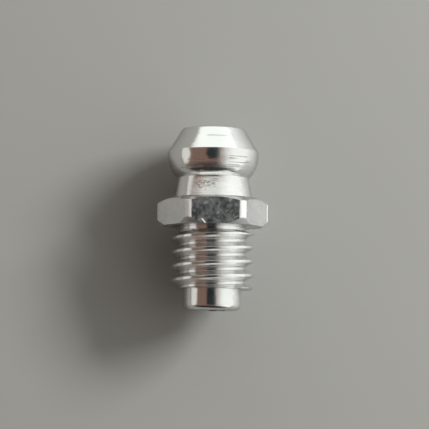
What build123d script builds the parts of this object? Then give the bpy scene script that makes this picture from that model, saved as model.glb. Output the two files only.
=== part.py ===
"""Straight grease nipple with a coned head, an M6 x 1 shank and a sprung ball check.

The nipple lies on one flat of its hexagon. Its axis runs along Y, with the head towards +Y
and the threaded shank towards -Y. The origin is on the axis, in the plane of the face under
the hexagon, which seats on the rim of the tapped hole. All lengths are in millimetres.
"""

import os
from math import cos, pi, radians, sin, sqrt, tan

from build123d import *

os.makedirs("parts", exist_ok=True)

# ---------------------------------------------------------------- hexagon
across_flats = 7.0
hex_height = 2.0
hex_corner_radius = 0.5
hex_top_inset = 0.26  # how far inside the flats the top chamfer starts
hex_top_chamfer_angle = 30.0  # from the face
hex_seat_outset = 0.12  # how far outside the flats the seat's chamfer ends
hex_seat_chamfer_angle = 38.0  # from the axis
corner_clearance = 0.2  # how far the chamfers' cones run out past the corners

# ---------------------------------------------------------------- head
head_height = 5.0
head_diameter = 6.5
head_top_diameter = 4.5
shoulder_rise = 0.26  # how far above the bulb's widest place the head's cone ends
widest_depth = 1.9  # below the head's top
neck_diameter = 5.1
neck_depth = 3.55  # below the head's top
collar_diameter = 5.74  # at the foot of the cone under the neck
head_edge_radius = 0.15
neck_radius = 0.12

# ---------------------------------------------------------------- shank
shank_length = 6.0
thread_diameter = 5.9
thread_pitch = 1.0
thread_angle = 60.0  # between the flanks
thread_crest_width = 0.18
thread_root_width = 0.17
thread_length = 4.2
thread_offset = 0.8  # moves the groove along the axis, within one pitch
thread_end_chamfer = 0.12
relief_width = 0.3
relief_flank = 0.25  # axial length of the slope from the relief to the thread's crest
relief_clearance = 0.04  # how far the relief lies under the thread's root
shank_in_head = 0.5  # how far the shank's core is drawn up into the hexagon
pilot_clearance = 0.31  # how far the plain pilot lies under the thread's root
pilot_end_radius = 0.4

# ---------------------------------------------------------------- grease way
bore_diameter = 2.9
orifice_diameter = 1.7
orifice_length = 0.35
orifice_rim_chamfer = 0.08
ball_seat_angle = 45.0  # from the axis
lip_opening_diameter = 2.0
lip_thickness = 0.35
lip_slope_angle = 50.0  # from the axis

# ---------------------------------------------------------------- valve
ball_diameter = 2.5
ball_seat_gap = 0.02
wire_diameter = 0.26
active_turns = 9
closed_turns = 1  # at each end
closed_turn_gap = 0.04
spring_wall_gap = 0.16
spring_end_gap = 0.03
points_per_turn = 8  # of the curve that the wire follows

# ---------------------------------------------------------------- stations along the axis
head_top = hex_height + head_height
widest_station = head_top - widest_depth
neck_station = head_top - neck_depth
thread_start = -relief_width
thread_end = thread_start - thread_length
shank_end = -shank_length

# ================================================================ head and hexagon
# The bulb is one arc about a point on the widest station, and runs down to the neck.
bulb_swell = (head_diameter - neck_diameter) / 2
bulb_run = widest_station - neck_station
bulb_radius = (bulb_swell**2 + bulb_run**2) / (2 * bulb_swell)
bulb_centre = head_diameter / 2 - bulb_radius

# The cone falls from the top's rim to the shoulder, which lies on the bulb's arc.
shoulder_radius = bulb_centre + sqrt(bulb_radius**2 - shoulder_rise**2)

top_rim = (head_top_diameter / 2, head_top)
shoulder = (shoulder_radius, widest_station + shoulder_rise)
widest = (head_diameter / 2, widest_station)
neck = (neck_diameter / 2, neck_station)

# The hexagon's two chamfers are cones that run out past its corners.
flat_radius = across_flats / 2
top_face_radius = flat_radius - hex_top_inset
seat_radius = flat_radius + hex_seat_outset
clear_radius = flat_radius / cos(pi / 6) + corner_clearance
top_chamfer_fall = (clear_radius - top_face_radius) * tan(radians(hex_top_chamfer_angle))
seat_chamfer_rise = (clear_radius - seat_radius) / tan(radians(hex_seat_chamfer_angle))

with BuildPart() as head:
    # hexagonal bar, a flat up and a flat down
    with BuildSketch(Plane.XZ.offset(-head_top)) as bar_section:
        RegularPolygon(radius=flat_radius, side_count=6, major_radius=False)
        fillet(bar_section.vertices(), radius=hex_corner_radius)
    extrude(amount=head_top)

    # what the lathe leaves of it
    with BuildSketch(Plane.XY) as head_outline:
        with BuildLine():
            Polyline((0, head_top), top_rim, shoulder)
            ThreePointArc(shoulder, widest, neck)
            Polyline(
                neck,
                (collar_diameter / 2, hex_height),
                (top_face_radius, hex_height),
                (clear_radius, hex_height - top_chamfer_fall),
                (clear_radius, seat_chamfer_rise),
                (seat_radius, 0),
                (0, 0),
                (0, head_top),
            )
        make_face()
        fillet(head_outline.vertices().sort_by_distance(top_rim)[0], radius=head_edge_radius)
        fillet(head_outline.vertices().sort_by_distance(neck)[0], radius=neck_radius)
    revolve(axis=Axis.Y, mode=Mode.INTERSECT)

# ================================================================ threaded shank
half_angle = radians(thread_angle / 2)
thread_depth = (thread_pitch - thread_crest_width - thread_root_width) / (2 * tan(half_angle))
root_radius = thread_diameter / 2 - thread_depth
relief_radius = root_radius - relief_clearance
pilot_radius = root_radius - pilot_clearance

# The cutter stands proud of the bar by half of what would make its turns meet.
cutter_overshoot = thread_crest_width / (4 * tan(half_angle))
cutter_height = thread_depth + cutter_overshoot
root_half_width = thread_root_width / 2
mouth_half_width = root_half_width + cutter_height * tan(half_angle)
thread_overrun = 1.5 * thread_pitch
bar_overrun = thread_overrun + 2 * thread_pitch
turned_clear_radius = thread_diameter / 2 + cutter_overshoot

with BuildPart() as shank:
    # an over-long bar, threaded past both ends of what is kept
    with BuildSketch(Plane.XZ.offset(-bar_overrun)):
        Circle(thread_diameter / 2)
    extrude(amount=2 * bar_overrun - thread_end)
    with BuildLine() as groove_path:
        Helix(
            pitch=thread_pitch,
            height=2 * thread_overrun - thread_end,
            radius=root_radius,
            center=(0, thread_end - thread_overrun + thread_offset, 0),
            direction=(0, 1, 0),
        )
    path_start = groove_path.line @ 0
    outwards = (path_start.X, 0, path_start.Z)
    with BuildSketch(Plane(path_start, x_dir=outwards, z_dir=groove_path.line % 0)):
        with BuildLine():
            Polyline(
                (0, -root_half_width),
                (cutter_height, -mouth_half_width),
                (cutter_height, mouth_half_width),
                (0, root_half_width),
                close=True,
            )
        make_face()
    sweep(is_frenet=True, mode=Mode.SUBTRACT)

    # turned down to the relief, the chamfered end of the thread and the plain pilot
    with BuildSketch(Plane.XY) as shank_outline:
        with BuildLine():
            Polyline(
                (0, shank_in_head),
                (relief_radius, shank_in_head),
                (relief_radius, thread_start),
                (turned_clear_radius, thread_start - relief_flank),
                (turned_clear_radius, thread_end + thread_end_chamfer + cutter_overshoot),
                (thread_diameter / 2 - thread_end_chamfer, thread_end),
                (pilot_radius, thread_end),
                (pilot_radius, shank_end),
                (0, shank_end),
                close=True,
            )
        make_face()
        pilot_rim = shank_outline.vertices().sort_by_distance((pilot_radius, shank_end))[0]
        fillet(pilot_rim, radius=pilot_end_radius)
    revolve(axis=Axis.Y, mode=Mode.INTERSECT)

# ================================================================ nipple body
bore_radius = bore_diameter / 2
orifice_radius = orifice_diameter / 2
lip_radius = lip_opening_diameter / 2
seat_start = head_top - orifice_length
seat_foot = seat_start - (bore_radius - orifice_radius) / tan(radians(ball_seat_angle))
lip_top = shank_end + lip_thickness
lip_slope_top = lip_top + (bore_radius - lip_radius) / tan(radians(lip_slope_angle))

with BuildPart() as nipple_body:
    add(head.part)
    add(shank.part)

    # the grease way: orifice, ball seat, bore, and the lip rolled in under the spring
    with BuildSketch(Plane.XY):
        with BuildLine():
            Polyline(
                (0, head_top),
                (orifice_radius + orifice_rim_chamfer, head_top),
                (orifice_radius, head_top - orifice_rim_chamfer),
                (orifice_radius, seat_start),
                (bore_radius, seat_foot),
                (bore_radius, lip_slope_top),
                (lip_radius, lip_top),
                (lip_radius, shank_end),
                (0, shank_end),
                close=True,
            )
        make_face()
    revolve(axis=Axis.Y, mode=Mode.SUBTRACT)

nipple_body.part.label = "nipple_body"
export_step(nipple_body.part, "parts/nipple_body.step")

# ================================================================ check ball
# The ball's centre, where its surface is one seat gap away from the seat's cone.
seat_angle = radians(ball_seat_angle)
ball_radius = ball_diameter / 2
ball_drop = ((ball_radius + ball_seat_gap) / cos(seat_angle) - orifice_radius) / tan(seat_angle)
ball_station = seat_start - ball_drop

with BuildPart(Plane.XZ.offset(-ball_station)) as check_ball:
    Sphere(ball_radius)

check_ball.part.label = "check_ball"
export_step(check_ball.part, "parts/check_ball.step")

# ================================================================ valve spring
wire_radius = wire_diameter / 2
coil_radius = bore_radius - spring_wall_gap - wire_radius
contact = wire_radius + spring_end_gap
lip_angle = radians(lip_slope_angle)

# The first coil cups the ball and the last one sits on the lip's slope.
spring_top = ball_station - sqrt((ball_radius + contact) ** 2 - coil_radius**2)
spring_foot = lip_slope_top + (contact - (bore_radius - coil_radius) * cos(lip_angle)) / sin(lip_angle)
closed_pitch = wire_diameter + closed_turn_gap
active_length = spring_top - spring_foot - 2 * closed_turns * closed_pitch
active_pitch = active_length / active_turns
all_turns = active_turns + 2 * closed_turns


def coil_height(turn):
    """How far along the axis the wire has come after this many turns."""
    first_closed = min(turn, closed_turns)
    active = min(max(turn - closed_turns, 0), active_turns)
    last_closed = max(turn - closed_turns - active_turns, 0)
    return (first_closed + last_closed) * closed_pitch + active * active_pitch


coil_points = []
for step in range(all_turns * points_per_turn + 1):
    turn = step / points_per_turn
    around = 2 * pi * turn
    coil_points.append(
        (coil_radius * sin(around), spring_foot + coil_height(turn), coil_radius * cos(around))
    )

with BuildPart() as valve_spring:
    with BuildLine() as coil:
        Spline(*coil_points)
    with BuildSketch(Plane(coil.line @ 0, z_dir=coil.line % 0)):
        Circle(wire_radius)
    sweep(is_frenet=True)

valve_spring.part.label = "valve_spring"
export_step(valve_spring.part, "parts/valve_spring.step")
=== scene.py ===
"""A grease nipple of bright zinc-plated steel, lying on one flat of its hexagon.

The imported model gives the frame: metres, with the nipple's axis along Y, its head towards +Y,
and the origin on the axis under the hexagon. The turned body, the ball and the spring are
modelled again here with fine meshes, at the same sizes, so that the plating reflects cleanly.
"""

from math import asin, cos, pi, radians, tan

import bmesh
import bpy
from mathutils import Matrix, Vector


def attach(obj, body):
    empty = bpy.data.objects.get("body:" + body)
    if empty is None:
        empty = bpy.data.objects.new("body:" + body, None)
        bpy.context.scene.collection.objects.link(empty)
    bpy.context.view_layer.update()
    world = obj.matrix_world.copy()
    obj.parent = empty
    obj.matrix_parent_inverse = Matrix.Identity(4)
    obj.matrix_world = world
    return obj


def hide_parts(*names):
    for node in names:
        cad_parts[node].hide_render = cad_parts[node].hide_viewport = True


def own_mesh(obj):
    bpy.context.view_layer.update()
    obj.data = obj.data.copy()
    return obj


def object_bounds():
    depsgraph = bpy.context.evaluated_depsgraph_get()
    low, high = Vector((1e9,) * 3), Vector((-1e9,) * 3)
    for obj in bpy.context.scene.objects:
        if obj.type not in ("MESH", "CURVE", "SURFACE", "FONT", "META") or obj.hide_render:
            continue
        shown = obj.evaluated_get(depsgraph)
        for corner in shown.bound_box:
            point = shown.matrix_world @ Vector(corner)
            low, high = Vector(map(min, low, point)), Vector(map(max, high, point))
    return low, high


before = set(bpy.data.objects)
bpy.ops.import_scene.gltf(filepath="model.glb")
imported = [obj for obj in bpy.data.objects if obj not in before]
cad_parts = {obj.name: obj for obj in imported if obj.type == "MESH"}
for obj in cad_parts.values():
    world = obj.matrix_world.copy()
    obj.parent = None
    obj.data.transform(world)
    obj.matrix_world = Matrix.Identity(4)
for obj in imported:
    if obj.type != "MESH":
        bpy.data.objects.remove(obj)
cad_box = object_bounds()

MM = 0.001
ALONG_AXIS = Vector((0, 1, 0))

# ---------------------------------------------------------------- sizes in millimetres
ACROSS_FLATS = 7.0
HEX_HEIGHT = 2.0
HEX_CORNER_RADIUS = 0.5
HEX_TOP_FACE_RADIUS = 3.24
HEX_TOP_CHAMFER_ANGLE = radians(30)
HEX_SEAT_RADIUS = 3.62
HEX_SEAT_CHAMFER_ANGLE = radians(38)

HEAD_TOP = 7.0
HEAD_TOP_RADIUS = 2.25
BULB_RADIUS = 3.25
BULB_STATION = 5.1
SHOULDER_STATION = 5.36
NECK_RADIUS = 2.55
NECK_STATION = 3.45
COLLAR_RADIUS = 2.87

THREAD_RADIUS = 2.95
THREAD_PITCH = 1.0
THREAD_ANGLE = radians(30)
CREST_WIDTH = 0.18
ROOT_WIDTH = 0.17
THREAD_START = -0.3
THREAD_END = -4.5
THREAD_END_CHAMFER = 0.12
RELIEF_FLANK = 0.25
PILOT_CLEARANCE = 0.31
RELIEF_CLEARANCE = 0.04
GROOVE_STATION = -0.2  # where a groove's middle crosses the side that faces up

SHANK_END = -6.0
BORE_RADIUS = 1.45
ORIFICE_RADIUS = 0.85
ORIFICE_FOOT = 6.65
LIP_RADIUS = 1.0
LIP_TOP = -5.65
LIP_ANGLE = radians(50)
ORIFICE_CHAMFER = 0.08

NECK_FILLET = 0.12
HEAD_TOP_FILLET = 0.15
PILOT_END_FILLET = 0.4
ROOT_FILLET = 0.05
CREST_FILLET = 0.035

BALL_RADIUS = 1.25
BALL_STATION = 5.704
WIRE_RADIUS = 0.13
COIL_RADIUS = 1.16
SPRING_FOOT = -5.307
SPRING_TOP = 4.902
CLOSED_PITCH = 0.30
ACTIVE_TURNS = 9

# ---------------------------------------------------------------- sizes worked out from them
BULB_SWELL = BULB_RADIUS - NECK_RADIUS
BULB_RUN = BULB_STATION - NECK_STATION
BULB_ARC = (BULB_SWELL**2 + BULB_RUN**2) / (2 * BULB_SWELL)
BULB_CENTRE = BULB_RADIUS - BULB_ARC
SHOULDER_RISE = SHOULDER_STATION - BULB_STATION
BULB_SWEEP = asin(SHOULDER_RISE / BULB_ARC) + asin(BULB_RUN / BULB_ARC)
THREAD_DEPTH = (THREAD_PITCH - CREST_WIDTH - ROOT_WIDTH) / (2 * tan(THREAD_ANGLE))
ROOT_RADIUS = THREAD_RADIUS - THREAD_DEPTH
RELIEF_RADIUS = ROOT_RADIUS - RELIEF_CLEARANCE
PILOT_RADIUS = ROOT_RADIUS - PILOT_CLEARANCE
TURNED_CLEAR_RADIUS = THREAD_RADIUS + CREST_WIDTH / (4 * tan(THREAD_ANGLE))
LIP_SLOPE_TOP = LIP_TOP + (BORE_RADIUS - LIP_RADIUS) / tan(LIP_ANGLE)
SPRING_LENGTH = SPRING_TOP - SPRING_FOOT
ACTIVE_PITCH = (SPRING_LENGTH - 2 * CLOSED_PITCH) / ACTIVE_TURNS

# ---------------------------------------------------------------- fineness of the meshes
SEGMENTS_A_FLAT = 24
SEGMENTS_A_CORNER = 10
STEPS_ROUND = 6 * (SEGMENTS_A_FLAT + SEGMENTS_A_CORNER)
BULB_STEPS = 26
NECK_FILLET_SEGMENTS = 5
HEAD_TOP_FILLET_SEGMENTS = 6
PILOT_END_FILLET_SEGMENTS = 12
THREAD_FILLET_SEGMENTS = 4
FLANK_CUTS = 7
CUT_TURNS = 7  # more turns of thread than the shank holds, so that both ends can be turned off
BALL_SUBDIVISIONS = 5
WIRE_SIDES = 16
COIL_STEPS = 48

# how near, in millimetres, counts as one place or one station, and how long a thread's flank is
SAME_PLACE = 0.0005
SAME_PLACE_IN_THREAD = 0.001
SAME_STATION = 0.001
SHORTEST_FLANK = 0.4

# the flat rings that join the turned forms: a station, and a radius just past the ring
FLAT_RINGS = ((HEX_HEIGHT, 3.5), (0, 4.2), (THREAD_END, 3.2))
PIECE_CREASE = radians(20)
WIRE_CREASE = radians(50)

# ---------------------------------------------------------------- where the finish changes
# in millimetres, where a change begins and where it is complete
FLATS_OUT = (3.42, 3.48)
CORNERS_OUT = (3.87, 3.92)
SEAT_OUT = (2.9, 3.0)
THREAD_BELOW = (0.3, 0.4)
PILOT_BELOW = (4.5, 4.6)
HEAD_ALONG = (3.4, 3.8)
HEXAGON_ALONG = (-0.3, 0.1)
UPPER_SIDE = (0.5, 1.0)

# a mark's middle and its reach from there, in millimetres
NICK_SLANT = 0.8
NICK_LINE = (-0.72, 0.05)
NICK_STATION = (0.1, 0.2)
CONE_LINE_STATION = (6.28, 0.035)
CONE_LINE_ACROSS = (0.1, 0.75)
SCUFF_STATION = (2.75, 0.42)
SCUFF_ACROSS = (-0.75, 0.9)

# the jaws' marks lie on both sides of the bulb's middle, by the square of the distance across
JAW_MARKS_INNER = (0.5, 1.2)
JAW_MARKS_OUTER = (4.8, 6.2)
JAW_MARKS_FOOT = (3.9, 4.1)
JAW_MARKS_TOP = (4.8, 5.0)

# tool lines are noise drawn out round the axis, and they climb a face as it goes out
LINE_STRETCH = 0.06
LINE_CLIMB = 0.8
SCRATCH_TURNS = ((0, 0.3, 0.5), (0.2, 0, 1.2), (0.4, 0.2, 2.2))
LAPPING_TURNS = ((0.4, 0.2, 0.3), (1.5, 0.3, 1.1), (0.7, 1.2, 2.3))

# ---------------------------------------------------------------- colours
ZINC = (0.85, 0.86, 0.85, 1)
ZINC_BRIGHT = (0.91, 0.915, 0.9, 1)
ZINC_EDGE_TINT = (0.6, 0.6, 0.6, 1)  # plate reflects less where it turns away
OLIVE_GREASE = (0.42, 0.40, 0.33, 1)
BALL_STEEL = (0.68, 0.68, 0.69, 1)
OILED_BALL = (0.56, 0.55, 0.54, 1)
WIRE_STEEL = (0.52, 0.52, 0.52, 1)
OILED_WIRE = (0.34, 0.33, 0.32, 1)
PALE_FLOOR = (0.295, 0.297, 0.281, 1)

BROWN_WALL = (0.19, 0.118, 0.092, 1)
DIM_FRONT = (0.03, 0.028, 0.026, 1)
DARK_CEILING = (0.014, 0.02, 0.022, 1)
PALE_LEFT_WALL = (1.0, 1.0, 0.96, 1)
PALE_BACK_WALL = (1.06, 1.1, 1.05, 1)
PALE_RIGHT_WALL = (0.98, 1.0, 0.97, 1)
PALE_RIGHT_ENDS = (1.25, 1.28, 1.25, 1)

# ---------------------------------------------------------------- room and view
# in metres, and the lamps' angles in degrees
WINDOW = dict(azimuth=31, elevation=30, distance=0.3, width=0.13, height=0.068, radiance=43)
FLOOR_SHEEN = dict(azimuth=27, elevation=29, distance=0.3, width=0.42, height=0.0733, radiance=13)
FLOOR_REACH = 0.8
CAMERA_DISTANCE = 0.15
CAMERA_CLIP = (0.005, 5)
SENSOR_WIDTH = 36  # in Blender's own millimetres, as the lens is
VIEW_WIDTH = 0.03075  # what the camera sees across, at the nipple
VIEW_CENTRE = Vector((0.138, 0.88, 0)) * MM
VIEW_TILT_LEFT = radians(3.5)
VIEW_TILT_TO_SHANK = radians(5)
VIEW_ROLL = radians(0.74)


# ---------------------------------------------------------------- shaping
def profile(bm, corners):
    """Joins (radius, station) corners, in millimetres, into an open lathe profile."""
    verts = [bm.verts.new((radius * MM, station * MM, 0)) for radius, station in corners]
    for start, end in zip(verts, verts[1:]):
        bm.edges.new((start, end))
    return verts


def round_corner(bm, vert, radius, segments):
    """Rounds a corner of a profile or section to a radius in millimetres."""
    one, other = [(edge.other_vert(vert).co - vert.co).normalized() for edge in vert.link_edges]
    bmesh.ops.bevel(
        bm,
        geom=[vert],
        offset=radius * MM / tan(one.angle(other) / 2),
        offset_type="OFFSET",
        segments=segments,
        profile=0.5,
        affect="VERTICES",
        material=-1,
    )


def reach(vert):
    """A vertex's distance from the nipple's axis, in millimetres."""
    return Vector((vert.co.x, vert.co.z)).length / MM


def place(verts, radius=None, station=None):
    """Moves each vertex out from the axis, or along it, to where a rule puts its own radius."""
    for vert in verts:
        own = reach(vert)
        out = radius(own) / own if radius else 1
        along = station(own) * MM if station else vert.co.y
        vert.co = (vert.co.x * out, along, vert.co.z * out)


def extrude_ring(bm, edges):
    """Extrudes a ring of edges on the spot, and returns the new ring's edges and vertices."""
    made = bmesh.ops.extrude_edge_only(bm, edges=edges)["geom"]
    return (
        [part for part in made if isinstance(part, bmesh.types.BMEdge)],
        [part for part in made if isinstance(part, bmesh.types.BMVert)],
    )


def open_ring(bm, station, within):
    """The open edges that lie in the plane at a station and within a radius, in millimetres."""
    return [
        edge
        for edge in bm.edges
        if edge.is_boundary
        and all(abs(vert.co.y / MM - station) < SAME_STATION for vert in edge.verts)
        and all(reach(vert) < within for vert in edge.verts)
    ]


def spin(bm, geom, turns, steps, advance=0.0):
    """Turns a shape right-handed round the axis, and advances it, in millimetres a turn."""
    return bmesh.ops.spin(
        bm,
        geom=geom,
        cent=(0, 0, 0),
        axis=ALONG_AXIS,
        dvec=ALONG_AXIS * advance * turns / steps * MM,
        angle=2 * pi * turns,
        steps=steps,
        use_merge=turns == 1 and advance == 0,
    )


def finished(bm, name, crease=PIECE_CREASE):
    """Closes a shape and makes it an object, smooth but for creases sharper than an angle."""
    bmesh.ops.remove_doubles(bm, verts=bm.verts, dist=SAME_PLACE * MM)
    bmesh.ops.recalc_face_normals(bm, faces=bm.faces)
    for face in bm.faces:
        face.smooth = True
    for edge in bm.edges:
        edge.smooth = edge.is_manifold and edge.calc_face_angle() < crease
    mesh = bpy.data.meshes.new(name)
    bm.to_mesh(mesh)
    bm.free()
    piece = bpy.data.objects.new(name, mesh)
    bpy.context.scene.collection.objects.link(piece)
    return piece


# ---------------------------------------------------------------- nipple body
def turn_head_and_bore(bm):
    """Turns the collar, bulb, cone, grease way, rolled lip and pilot."""
    _, neck = profile(bm, [(COLLAR_RADIUS, HEX_HEIGHT), (NECK_RADIUS, NECK_STATION)])
    swell = bmesh.ops.spin(
        bm,
        geom=[neck],
        cent=Vector((BULB_CENTRE, BULB_STATION, 0)) * MM,
        axis=(0, 0, 1),
        angle=BULB_SWEEP,
        steps=BULB_STEPS,
    )
    shoulder = swell["geom_last"][0]
    rim, *_, pilot_rim, _ = profile(
        bm,
        [
            (HEAD_TOP_RADIUS, HEAD_TOP),
            (ORIFICE_RADIUS + ORIFICE_CHAMFER, HEAD_TOP),
            (ORIFICE_RADIUS, HEAD_TOP - ORIFICE_CHAMFER),
            (ORIFICE_RADIUS, ORIFICE_FOOT),
            (BORE_RADIUS, ORIFICE_FOOT - (BORE_RADIUS - ORIFICE_RADIUS)),
            (BORE_RADIUS, LIP_SLOPE_TOP),
            (LIP_RADIUS, LIP_TOP),
            (LIP_RADIUS, SHANK_END),
            (PILOT_RADIUS, SHANK_END),
            (PILOT_RADIUS, THREAD_END),
        ],
    )
    bm.edges.new((shoulder, rim))
    round_corner(bm, neck, NECK_FILLET, NECK_FILLET_SEGMENTS)
    round_corner(bm, rim, HEAD_TOP_FILLET, HEAD_TOP_FILLET_SEGMENTS)
    round_corner(bm, pilot_rim, PILOT_END_FILLET, PILOT_END_FILLET_SEGMENTS)
    spin(bm, bm.verts[:] + bm.edges[:], turns=1, steps=STEPS_ROUND)


def cut_hexagon(bm):
    """Makes a bar's six sides with rounded corners, and turns a chamfer at both ends."""
    corners = bmesh.ops.create_circle(
        bm,
        segments=6,
        radius=ACROSS_FLATS / 2 / cos(pi / 6) * MM,
        matrix=Matrix.Rotation(pi / 6, 4, "Y") @ Matrix.Rotation(pi / 2, 4, "X"),
    )["verts"]
    for corner in corners:
        round_corner(bm, corner, HEX_CORNER_RADIUS, SEGMENTS_A_CORNER)
    sides = [edge for edge in bm.edges if edge.is_wire and edge.calc_length() > MM]
    bmesh.ops.subdivide_edges(bm, edges=sides, cuts=SEGMENTS_A_FLAT - 1)
    section = [edge for edge in bm.edges if edge.is_wire]
    upper = list({vert for edge in section for vert in edge.verts})
    seat_edges, lower = extrude_ring(bm, section)

    # the top chamfer falls outwards from the face's rim, so it arches over each flat
    slope = tan(HEX_TOP_CHAMFER_ANGLE)
    place(upper, station=lambda own: HEX_HEIGHT - (own - HEX_TOP_FACE_RADIUS) * slope)
    _, face_rim = extrude_ring(bm, section)
    place(face_rim, lambda own: HEX_TOP_FACE_RADIUS, lambda own: HEX_HEIGHT)

    # the chamfer over the seat only takes the corners off
    slope = tan(HEX_SEAT_CHAMFER_ANGLE)
    place(lower, station=lambda own: max(own - HEX_SEAT_RADIUS, 0) / slope)
    _, seat_rim = extrude_ring(bm, seat_edges)
    place(seat_rim, lambda own: min(own, HEX_SEAT_RADIUS), lambda own: 0)


def turned_limit(station):
    """How far out the turned shank reaches at a station: relief, its flank, thread, end chamfer."""
    below_relief = THREAD_START - station
    above_end = station - THREAD_END
    if below_relief <= 0:
        return RELIEF_RADIUS
    relief_depth = TURNED_CLEAR_RADIUS - RELIEF_RADIUS
    from_relief = RELIEF_RADIUS + below_relief / RELIEF_FLANK * relief_depth
    from_end = THREAD_RADIUS - THREAD_END_CHAMFER + above_end
    return min(from_relief, from_end)


def cut_thread(bm):
    """Cuts the right-hand thread, and turns it down to the relief and the end chamfer."""
    flank_run = THREAD_DEPTH * tan(THREAD_ANGLE)
    low = GROOVE_STATION - (CUT_TURNS - 1) * THREAD_PITCH
    pitch_corners = [
        (ROOT_RADIUS, low),
        (ROOT_RADIUS, low + ROOT_WIDTH / 2),
        (THREAD_RADIUS, low + ROOT_WIDTH / 2 + flank_run),
        (THREAD_RADIUS, low + ROOT_WIDTH / 2 + flank_run + CREST_WIDTH),
        (ROOT_RADIUS, low + THREAD_PITCH - ROOT_WIDTH / 2),
        (ROOT_RADIUS, low + THREAD_PITCH),
    ]
    thread = bmesh.new()
    verts = profile(thread, pitch_corners)
    bmesh.ops.rotate(thread, verts=verts, cent=(0, 0, 0), matrix=Matrix.Rotation(-pi / 2, 3, "Y"))
    for vert, radius in zip(verts[1:5], (ROOT_FILLET, CREST_FILLET, CREST_FILLET, ROOT_FILLET)):
        round_corner(thread, vert, radius, THREAD_FILLET_SEGMENTS)
    flanks = [edge for edge in thread.edges if edge.calc_length() > SHORTEST_FLANK * MM]
    bmesh.ops.subdivide_edges(thread, edges=flanks, cuts=FLANK_CUTS)
    groove = thread.verts[:] + thread.edges[:]
    spin(thread, groove, turns=1, steps=STEPS_ROUND, advance=THREAD_PITCH)
    one_turn = thread.verts[:] + thread.edges[:] + thread.faces[:]
    for turn in range(1, CUT_TURNS):
        copied = bmesh.ops.duplicate(thread, geom=one_turn)["geom"]
        bmesh.ops.translate(
            thread,
            verts=[part for part in copied if isinstance(part, bmesh.types.BMVert)],
            vec=ALONG_AXIS * turn * THREAD_PITCH * MM,
        )
    bmesh.ops.remove_doubles(thread, verts=thread.verts, dist=SAME_PLACE_IN_THREAD * MM)
    for station, side in (
        (0, 1),
        (THREAD_START, 0),
        (THREAD_START - RELIEF_FLANK, 0),
        (THREAD_END + THREAD_END_CHAMFER, 0),
        (THREAD_END, -1),
    ):
        bmesh.ops.bisect_plane(
            thread,
            geom=thread.verts[:] + thread.edges[:] + thread.faces[:],
            plane_co=ALONG_AXIS * station * MM,
            plane_no=ALONG_AXIS,
            clear_outer=side > 0,
            clear_inner=side < 0,
        )
    for vert in thread.verts:
        out = min(turned_limit(vert.co.y / MM) / reach(vert), 1)
        vert.co = (vert.co.x * out, vert.co.y, vert.co.z * out)
    whole = bpy.data.meshes.new("thread")
    thread.to_mesh(whole)
    thread.free()
    bm.from_mesh(whole)
    bpy.data.meshes.remove(whole)


def make_nipple_body():
    bm = bmesh.new()
    turn_head_and_bore(bm)
    cut_hexagon(bm)
    cut_thread(bm)
    bmesh.ops.remove_doubles(bm, verts=bm.verts, dist=SAME_PLACE * MM)

    for station, within in FLAT_RINGS:
        bmesh.ops.triangle_fill(bm, use_beauty=True, edges=open_ring(bm, station, within))
    return finished(bm, "turned_body")


nipple_body = make_nipple_body()
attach(nipple_body, "nipple")
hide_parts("nipple_body")


# ---------------------------------------------------------------- check ball
def make_ball():
    bm = bmesh.new()
    bmesh.ops.create_icosphere(
        bm,
        subdivisions=BALL_SUBDIVISIONS,
        radius=BALL_RADIUS * MM,
        matrix=Matrix.Translation(ALONG_AXIS * BALL_STATION * MM),
    )
    return finished(bm, "steel_ball")


steel_ball = make_ball()
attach(steel_ball, "ball")
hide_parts("check_ball")


# ---------------------------------------------------------------- valve spring
def make_spring():
    """Winds the wire: a closed turn, the active turns, and a closed turn."""
    bm = bmesh.new()
    start = Vector((0, SPRING_FOOT, COIL_RADIUS)) * MM
    bmesh.ops.create_circle(
        bm,
        cap_ends=True,
        segments=WIRE_SIDES,
        radius=WIRE_RADIUS * MM,
        matrix=Matrix.Translation(start) @ Matrix.Rotation(pi / 2, 4, "Y"),
    )
    end = bm.verts[:] + bm.edges[:] + bm.faces[:]
    for turns, pitch in ((1, CLOSED_PITCH), (ACTIVE_TURNS, ACTIVE_PITCH), (1, CLOSED_PITCH)):
        end = spin(bm, end, turns=turns, steps=COIL_STEPS * turns, advance=pitch)["geom_last"]
    return finished(bm, "wire_spring", crease=WIRE_CREASE)


wire_spring = make_spring()
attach(wire_spring, "nipple")
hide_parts("valve_spring")
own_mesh(wire_spring)


# ---------------------------------------------------------------- finishes
class Value:
    """What one socket gives over a surface. Sums, products and powers of it add Math nodes."""

    def __init__(self, finish, socket):
        self.finish = finish
        self.socket = socket

    def __add__(self, other):
        return self.finish.maths("ADD", self, other)

    def __radd__(self, other):
        return self.finish.maths("ADD", other, self)

    def __sub__(self, other):
        return self.finish.maths("SUBTRACT", self, other)

    def __rsub__(self, other):
        return self.finish.maths("SUBTRACT", other, self)

    def __mul__(self, other):
        return self.finish.maths("MULTIPLY", self, other)

    def __rmul__(self, other):
        return self.finish.maths("MULTIPLY", other, self)

    def __truediv__(self, other):
        return self.finish.maths("DIVIDE", self, other)

    def __pow__(self, other):
        return self.finish.maths("POWER", self, other)


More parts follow.
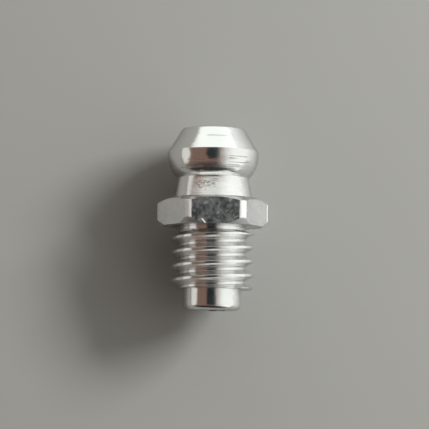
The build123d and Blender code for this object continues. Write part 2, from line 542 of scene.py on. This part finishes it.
class Finish:
    """A node tree, and the one way in which nodes are added to it."""

    def __init__(self, tree):
        self.tree = tree

    def node(self, kind, settings=None, inputs=None, output=0):
        """Adds a node, with its settings first and then its sockets' values or links."""
        made = self.tree.nodes.new(kind)
        for name, value in (settings or {}).items():
            setattr(made, name, value)
        for name, value in (inputs or {}).items():
            self.feed(made.inputs[name], value)
        return Value(self, made.outputs[output]) if len(made.outputs) else made

    def feed(self, socket, value):
        if isinstance(value, Value):
            self.tree.links.new(value.socket, socket)
        else:
            socket.default_value = value

    def maths(self, operation, *values):
        return self.node("ShaderNodeMath", {"operation": operation}, dict(enumerate(values)))

    def between(self, value, low, high):
        """0 where the value is under low, 1 over high, and a smooth step from one to the other."""
        return self.node(
            "ShaderNodeMapRange",
            {"interpolation_type": "SMOOTHSTEP"},
            {"Value": value, "From Min": low, "From Max": high},
        )

    def blend(self, share, one, other):
        """One colour turning into another as the share goes from 0 to 1."""
        return self.node(
            "ShaderNodeMix",
            {"data_type": "RGBA"},
            {"Factor": share, 6: one, 7: other},
            output=2,
        )

    def patch(self, *extents, inner, outer):
        """1 within an ellipse and 0 outside it. An extent is a value, its middle and its reach."""
        spread = sum(((value - middle) / reach) ** 2 for value, middle, reach in extents)
        return 1 - self.between(spread, inner, outer)

    def whereabouts(self):
        """The place on a piece, in metres, then across, along, above and out, in millimetres."""
        place = self.node("ShaderNodeTexCoord", output="Object")
        across, along, above = (
            self.node("ShaderNodeSeparateXYZ", {}, {0: place}, output=axis) / MM for axis in "XYZ"
        )
        return place, across, along, above, (across * across + above * above) ** 0.5

    def plain_noise(self, place, scale, detail=2.0, roughness=0.5):
        """Noise from 0 to 1, with as many blotches as the scale says in one unit of the place."""
        return self.node(
            "ShaderNodeTexNoise",
            {},
            {"Vector": place, "Scale": scale, "Detail": detail, "Roughness": roughness},
        )

    def noise(self, place, scale, detail=2.0, roughness=0.5, stretch=(1, 1, 1), turn=(0, 0, 0)):
        """Noise whose scale is in blotches a millimetre. A stretch under 1 draws them out."""
        packed = self.node(
            "ShaderNodeMapping",
            {"vector_type": "TEXTURE"},
            {"Vector": place, "Scale": [MM / scale / share for share in stretch], "Rotation": turn},
        )
        return self.plain_noise(packed, 1.0, detail, roughness)

    def raise_surface(self, shader, height):
        """Bumps the surface by a height in millimetres."""
        bump = self.node("ShaderNodeBump", {}, {"Strength": 1.0, "Distance": MM, "Height": height})
        self.feed(shader.inputs["Normal"], bump)


def new_finish(name, **constants):
    """A metal's material, its node tree and its shader, with what is the same all over set."""
    material = bpy.data.materials.new(name)
    material.use_nodes = True
    shader = material.node_tree.nodes["Principled BSDF"]
    for socket, value in constants.items():
        shader.inputs[socket.replace("_", " ")].default_value = value
    return material, Finish(material.node_tree), shader


def bright_zinc():
    """Zinc plate over turned steel: tool lines round the axis, and drawn, scratched flats."""
    material, finish, shader = new_finish("bright_zinc", Specular_Tint=ZINC_EDGE_TINT)
    place, across, along, above, out = finish.whereabouts()
    normal = finish.node("ShaderNodeTexCoord", output="Normal")
    lean = finish.node("ShaderNodeSeparateXYZ", {}, {0: normal}, output="Y")
    flats = finish.between(out, *FLATS_OUT) * (1 - finish.between(lean * lean, 0.02, 0.1))
    corners = finish.between(out, *CORNERS_OUT)
    turned = 1 - flats
    below = 0 - along
    threaded = finish.between(below, *THREAD_BELOW) * (1 - finish.between(below, *PILOT_BELOW))
    head = finish.between(along, *HEAD_ALONG)
    shank = 1 - finish.between(along, *HEXAGON_ALONG)
    upper_side = finish.between(above, *UPPER_SIDE)
    low_side = 1 - finish.between(above / out, 0.5, 0.9)

    # tool lines follow the turned surface, whether it runs along the axis or across it
    lathe = finish.node(
        "ShaderNodeCombineXYZ",
        {},
        {0: across * LINE_STRETCH, 1: along + out * LINE_CLIMB, 2: above * LINE_STRETCH},
    )
    fine_lines = finish.plain_noise(lathe, 11.0)
    broad_lines = finish.plain_noise(lathe, 2.6, detail=1.0)
    rolled_lines = finish.plain_noise(lathe, 5.0)
    ripple = finish.noise(place, 0.9)
    mottle = finish.noise(place, 2.2, detail=4.0, roughness=0.6)
    grain = finish.noise(place, 9.0, detail=3.0, roughness=0.6)

    # the flats keep the drawn bar's skin: soft dents, faint draw lines and scratches from handling
    dents = finish.noise(place, 1.6, detail=3.0, roughness=0.55)
    drawn = finish.noise(place, 9.0, stretch=(1, 0.08, 1))
    scratches = 0
    for turn in SCRATCH_TURNS:
        scored = finish.noise(place, 6.0, detail=1.0, stretch=(0.12, 1, 0.3), turn=turn)
        scratches = finish.between(scored, 0.69, 0.76) + scratches
    worn = finish.between(finish.noise(place, 2.6, detail=3.0, roughness=0.6), 0.42, 0.68)
    clouded = finish.between(finish.noise(place, 2.4, detail=3.0, roughness=0.55), 0.36, 0.66)
    seat = finish.between(0 - lean, 0.3, 0.6) * finish.between(out, *SEAT_OUT)

    # a bright nick at the seat's edge of the flat that faces up, and a shallow line round the cone
    nick = (
        finish.patch((across + along * NICK_SLANT, *NICK_LINE), inner=0.5, outer=1.5)
        * finish.patch((along, *NICK_STATION), inner=0.5, outer=1.2)
        * finish.between(above, 3.3, 3.4)
    )
    cone_line = (
        finish.patch((along, *CONE_LINE_STATION), inner=0.3, outer=1.5)
        * finish.patch((across, *CONE_LINE_ACROSS), inner=0.5, outer=1.1)
        * upper_side
    )

    # a patch on the collar where the plate is scuffed, and marks of a coupler's jaws on the bulb
    scuffed = finish.patch(
        (across, *SCUFF_ACROSS), (along, *SCUFF_STATION), inner=0.4, outer=1.2
    )
    pitted = finish.noise(place, 6.0, detail=3.0, stretch=(0.7, 1, 0.7))
    pits = finish.between(pitted, 0.42, 0.72) * scuffed * upper_side
    jaw_marks = (
        finish.between(finish.plain_noise(lathe, 6.0, detail=1.0), 0.55, 0.62)
        * finish.between(across * across, *JAW_MARKS_INNER)
        * (1 - finish.between(across * across, *JAW_MARKS_OUTER))
        * finish.between(along, *JAW_MARKS_FOOT)
        * (1 - finish.between(along + (across - 1) ** 2 * 0.05, *JAW_MARKS_TOP))
        * upper_side
    )

    # heights are in millimetres, and what is cut in takes away
    finish.raise_surface(
        shader,
        fine_lines * turned * 0.004
        + broad_lines * turned * (0.008 + head * 0.006)
        + rolled_lines * threaded * 0.014
        + ripple * 0.02
        + dents * flats * 0.009
        + drawn * flats * 0.003
        + grain * 0.0015
        - scratches * flats * 0.003
        - pits * 0.004
        - jaw_marks * 0.01
        - cone_line * 0.012,
    )

    # a thin white film, clouds, worn corners and the nick's bare metal scatter light
    film = low_side * (0.05 + shank * 0.04) + threaded * 0.03
    scatter = film + clouded * flats * 0.07 + corners * 0.55 + nick * 0.85
    finish.feed(shader.inputs["Metallic"], 0.99 - scatter)
    rough = 0.10 + mottle * 0.08 + corners * 0.3 + worn * flats * 0.13 + seat * 0.25
    rough = rough + scratches * flats * 0.1 + pits * 0.2 + jaw_marks * 0.15
    finish.feed(shader.inputs["Roughness"], rough)
    plate = finish.blend(ripple, ZINC, ZINC_BRIGHT)
    finish.feed(
        shader.inputs["Base Color"], finish.blend(pits * 0.5 + jaw_marks * 0.7, plate, OLIVE_GREASE)
    )
    return material


def polished_ball():
    """Hardened steel, lapped to a mirror that keeps faint crossing marks and a film of oil."""
    material, finish, shader = new_finish("polished_ball", Metallic=1.0)
    place = finish.node("ShaderNodeTexCoord", output="Object")
    film = finish.noise(place, 1.5, detail=3.0)
    marks = 0
    for turn in LAPPING_TURNS:
        marks = finish.noise(place, 30.0, stretch=(0.05, 1, 1), turn=turn) + marks
    finish.raise_surface(shader, marks * 0.0004 + film * 0.002)
    finish.feed(shader.inputs["Base Color"], finish.blend(film, BALL_STEEL, OILED_BALL))
    finish.feed(shader.inputs["Roughness"], 0.04 + finish.between(film, 0.35, 0.7) * 0.12)
    return material


def drawn_wire():
    """Spring wire, with the draw lines that run along it and a darker, oiled skin in blotches."""
    material, finish, shader = new_finish("drawn_wire", Metallic=1.0)
    place, across, along, above, out = finish.whereabouts()

    # the draw lines wind with the coil, so a turn round the axis takes off a pitch
    round_axis = finish.maths("ARCTAN2", across, above) / (2 * pi)
    section = finish.node(
        "ShaderNodeCombineXYZ",
        {},
        {0: out, 1: along - round_axis * ACTIVE_PITCH, 2: round_axis * 2},
    )
    lines = finish.plain_noise(section, 28.0)
    skin = finish.between(finish.noise(place, 1.8, detail=4.0, roughness=0.6), 0.35, 0.7)
    finish.raise_surface(shader, lines * 0.004)
    finish.feed(shader.inputs["Base Color"], finish.blend(skin, WIRE_STEEL, OILED_WIRE))
    finish.feed(shader.inputs["Roughness"], 0.2 + skin * 0.14 + lines * 0.08)
    return material


nipple_body.data.materials.append(bright_zinc())
steel_ball.data.materials.append(polished_ball())
wire_spring.data.materials.append(drawn_wire())


# ---------------------------------------------------------------- floor, light and camera
def lay_floor():
    bm = bmesh.new()
    under = Matrix.Translation((0, 0, cad_box[0].z))
    bmesh.ops.create_grid(bm, x_segments=1, y_segments=1, size=FLOOR_REACH, matrix=under)
    floor = finished(bm, "floor")
    material, _, _ = new_finish(
        "pale_floor", Base_Color=PALE_FLOOR, Roughness=0.6, Specular_IOR_Level=0.7
    )
    floor.data.materials.append(material)
    return floor


def softbox(name, azimuth, elevation, distance, width, height, radiance):
    """A soft light that faces the nipple. Angles are in degrees, azimuth from +X towards +Y."""
    light = bpy.data.lights.new(name, "AREA")
    light.shape = "RECTANGLE"
    light.size = width
    light.size_y = height
    light.energy = radiance * pi * width * height
    lamp = bpy.data.objects.new(name, light)
    lamp.matrix_world = (
        Matrix.Rotation(radians(azimuth), 4, "Z")
        @ Matrix.Rotation(-radians(elevation), 4, "Y")
        @ Matrix.Translation((distance, 0, 0))
        @ Matrix.Rotation(pi / 2, 4, "Y")
        @ Matrix.Rotation(pi / 2, 4, "Z")
    )
    lamp.visible_camera = False
    bpy.context.scene.collection.objects.link(lamp)
    return lamp


def paint_room():
    """A room that is pale to the right and behind, and dim overhead, to the left and in front."""
    world = bpy.data.worlds.new("room")
    world.use_nodes = True
    bpy.context.scene.world = world
    room = Finish(world.node_tree)
    towards = room.node("ShaderNodeTexCoord", output="Generated")
    right, back = (
        room.node("ShaderNodeSeparateXYZ", {}, {0: towards}, output=axis) for axis in "XY"
    )
    front = room.between(0 - back, 0.45, 0.7)
    overhead = room.patch((right, -0.07, 0.32), (back, 0.02, 0.4), inner=0.7, outer=1.3)
    pale_left = room.between(0 - right, 0.86, 0.93) * 0.65
    high_back = (
        room.between(back, 0.32, 0.48)
        * (0.72 - room.between(back, 0.52, 0.6) * 0.56)
        * (1 - room.between(0 - right, 0.45, 0.8) * 0.5)
    )
    low_back = room.between(back, 0.72, 0.82) * (1 - room.between(0 - right, 0.42, 0.78))
    near_front = room.between(0 - back, 0.0, 0.3)
    pale_right = room.between(right - back * 0.1 - near_front * 0.09, 0.02, 0.8)
    pale_right = pale_right * (1 - room.between(0 - back, 0.55, 0.85))
    wall_ends = room.between(back * back, 0.06, 0.35)
    right_wall = room.blend(wall_ends, PALE_RIGHT_WALL, PALE_RIGHT_ENDS)

    colour = BROWN_WALL
    for share, painted in (
        (front, DIM_FRONT),
        (overhead, DARK_CEILING),
        (pale_left, PALE_LEFT_WALL),
        (high_back, PALE_BACK_WALL),
        (low_back, PALE_BACK_WALL),
        (pale_right, right_wall),
    ):
        colour = room.blend(share, colour, painted)
    room.feed(world.node_tree.nodes["Background"].inputs["Color"], colour)


def hang_lamps(floor):
    """A window that the metal doesn't reflect, and a lamp that gives only the floor its sheen."""
    window = softbox("window", **WINDOW)
    window.visible_glossy = False
    sheen = softbox("floor_sheen", **FLOOR_SHEEN)
    sheen.visible_diffuse = False
    receivers = bpy.data.collections.new("sheen_receivers")
    receivers.objects.link(floor)
    sheen.light_linking.receiver_collection = receivers


def set_camera():
    """Looks down on the nipple, from a little to the shank's side and a little to the left."""
    back = Vector((-tan(VIEW_TILT_LEFT), -tan(VIEW_TILT_TO_SHANK), 1)).normalized()
    right = Vector((-tan(VIEW_ROLL), 1, 0)).cross(back).normalized()
    camera = bpy.data.objects.new("camera", bpy.data.cameras.new("camera"))
    camera.data.sensor_width = SENSOR_WIDTH
    camera.data.lens = SENSOR_WIDTH * CAMERA_DISTANCE / VIEW_WIDTH
    camera.data.clip_start, camera.data.clip_end = CAMERA_CLIP
    camera.location = VIEW_CENTRE + back * CAMERA_DISTANCE
    camera.rotation_euler = Matrix((right, back.cross(right), back)).transposed().to_euler()
    bpy.context.scene.collection.objects.link(camera)
    bpy.context.scene.camera = camera


pale_floor = lay_floor()
paint_room()
hang_lamps(pale_floor)
set_camera()
bpy.context.scene.view_settings.view_transform = "Standard"
